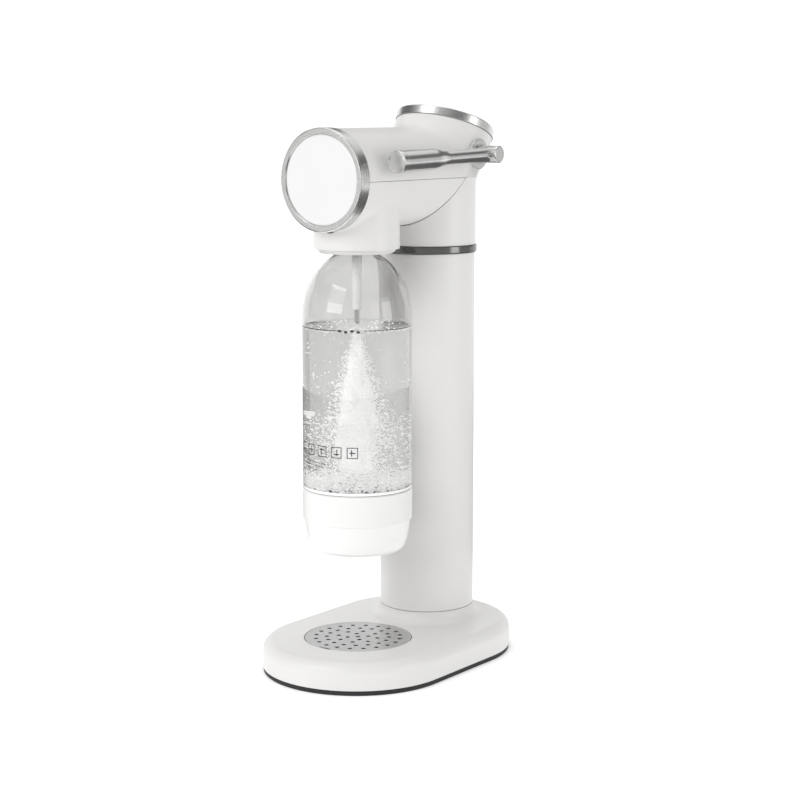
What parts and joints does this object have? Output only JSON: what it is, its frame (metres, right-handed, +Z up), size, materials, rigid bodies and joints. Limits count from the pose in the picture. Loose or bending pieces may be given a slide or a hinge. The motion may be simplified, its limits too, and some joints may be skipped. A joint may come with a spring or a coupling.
{
  "type": "soda carbonator",
  "caption": "Countertop carbonator with an oval base, drip tray, round column, angled head, side lever and a screw-in clear bottle.",
  "frame": {"origin": "centre of the base's footprint, on the surface it stands on", "axes": "+Z up, -Y towards the user (the bottle side), +X towards the lever"},
  "size_m": [0.15, 0.23, 0.44],
  "materials": {
    "white_plastic": "satin",
    "gloss_white": "gloss",
    "satin_chrome": "satin",
    "steel": "brushed",
    "black_rubber": "matt",
    "grey_plastic": "matt",
    "clear_plastic": "clear gloss",
    "silicone": "matt",
    "brass": "machined",
    "bronze": "sintered",
    "zinc_plate": "plated",
    "cylinder_paint": "satin",
    "nylon_tube": "satin"
  },
  "bodies": {
    "stand": {"base_housing": "white_plastic", "base_plate": "grey_plastic", "base_screw_1": "steel", "base_screw_2": "steel", "base_screw_3": "steel", "base_screw_4": "steel", "block_screw_1": "steel", "block_screw_2": "steel", "bottle_collar": "white_plastic", "bottle_seal": "silicone", "carbonation_tube": "nylon_tube", "chassis_screw_1": "steel", "chassis_screw_2": "steel", "chassis_screw_3": "steel", "column_shell": "white_plastic", "column_trim_ring": "satin_chrome", "foot_ring": "black_rubber", "front_disc": "gloss_white", "front_trim_ring": "satin_chrome", "gas_pipe": "nylon_tube", "head_chassis": "zinc_plate", "head_lower_shell": "white_plastic", "head_upper_shell": "white_plastic", "lever_flange": "satin_chrome", "neck_shell": "white_plastic", "nozzle_block": "white_plastic", "nozzle_screw_1": "steel", "nozzle_screw_2": "steel", "nozzle_tip": "steel", "plunger_seal": "silicone", "plunger_spring": "steel", "relief_body": "brass", "relief_cap": "brass", "relief_spring": "steel", "shaft_bushing_left": "bronze", "shaft_bushing_right": "bronze", "top_disc": "gloss_white", "top_trim_ring": "satin_chrome", "valve_block": "brass", "valve_seal": "silicone"},
    "lever": {"lever_arm": "satin_chrome", "lever_grip": "satin_chrome", "lever_end_cap": "satin_chrome", "lever_shaft": "steel", "shaft_clip": "steel", "push_arm": "steel"},
    "plunger": {"plunger": "steel"},
    "cylinder_pin": {"valve_pin": "steel"},
    "relief_valve": {"relief_poppet": "steel"},
    "drip_cup": {"drip_cup": "grey_plastic"},
    "drip_grille": {"drip_grille": "steel"},
    "gas_cylinder": {"gas_cylinder": "cylinder_paint", "gas_cylinder_valve": "brass"},
    "bottle": {"bottle_body": "clear_plastic", "bottle_base_cup": "white_plastic"}
  },
  "joints": [
    {"name": "lever_turn", "type": "hinge", "parent": "stand", "child": "lever", "pos_m": [0, 0.066, 0.401], "axis": [1, 0, 0], "range_deg": [0, 26], "stiffness_Nm_per_rad": 1, "springref_deg": -14.32},
    {"name": "plunger_slide", "type": "slide", "parent": "stand", "child": "plunger", "axis": [0, 0, -1], "range_m": [0, 0.0041], "deforming": ["plunger_spring"]},
    {"name": "pin_slide", "type": "slide", "parent": "stand", "child": "cylinder_pin", "axis": [0, 0, -1], "range_m": [0, 0.0041]},
    {"name": "relief_lift", "type": "slide", "parent": "stand", "child": "relief_valve", "axis": [0, 0, 1], "range_m": [0, 0.0015], "stiffness_N_per_m": 400, "springref_m": -0.001, "deforming": ["relief_spring"]},
    {"name": "cup_lift", "type": "slide", "parent": "stand", "child": "drip_cup", "axis": [0, 0, 1], "range_m": [0, 0.03]},
    {"name": "grille_lift", "type": "slide", "parent": "drip_cup", "child": "drip_grille", "axis": [0, 0, 1], "range_m": [0, 0.03]},
    {"name": "cylinder_unscrew", "type": "slide", "parent": "stand", "child": "gas_cylinder", "axis": [0, 0, 1], "range_m": [-0.0065, 0]},
    {"name": "bottle_drop", "type": "slide", "parent": "stand", "child": "bottle", "axis": [0, 0, 1], "range_m": [-0.0695, 0]}
  ],
  "couplings": [
    {"joint": "plunger_slide", "follows": "lever_turn", "m_per_rad": 0.0087},
    {"joint": "pin_slide", "follows": "lever_turn", "m_per_rad": 0.0087}
  ]
}
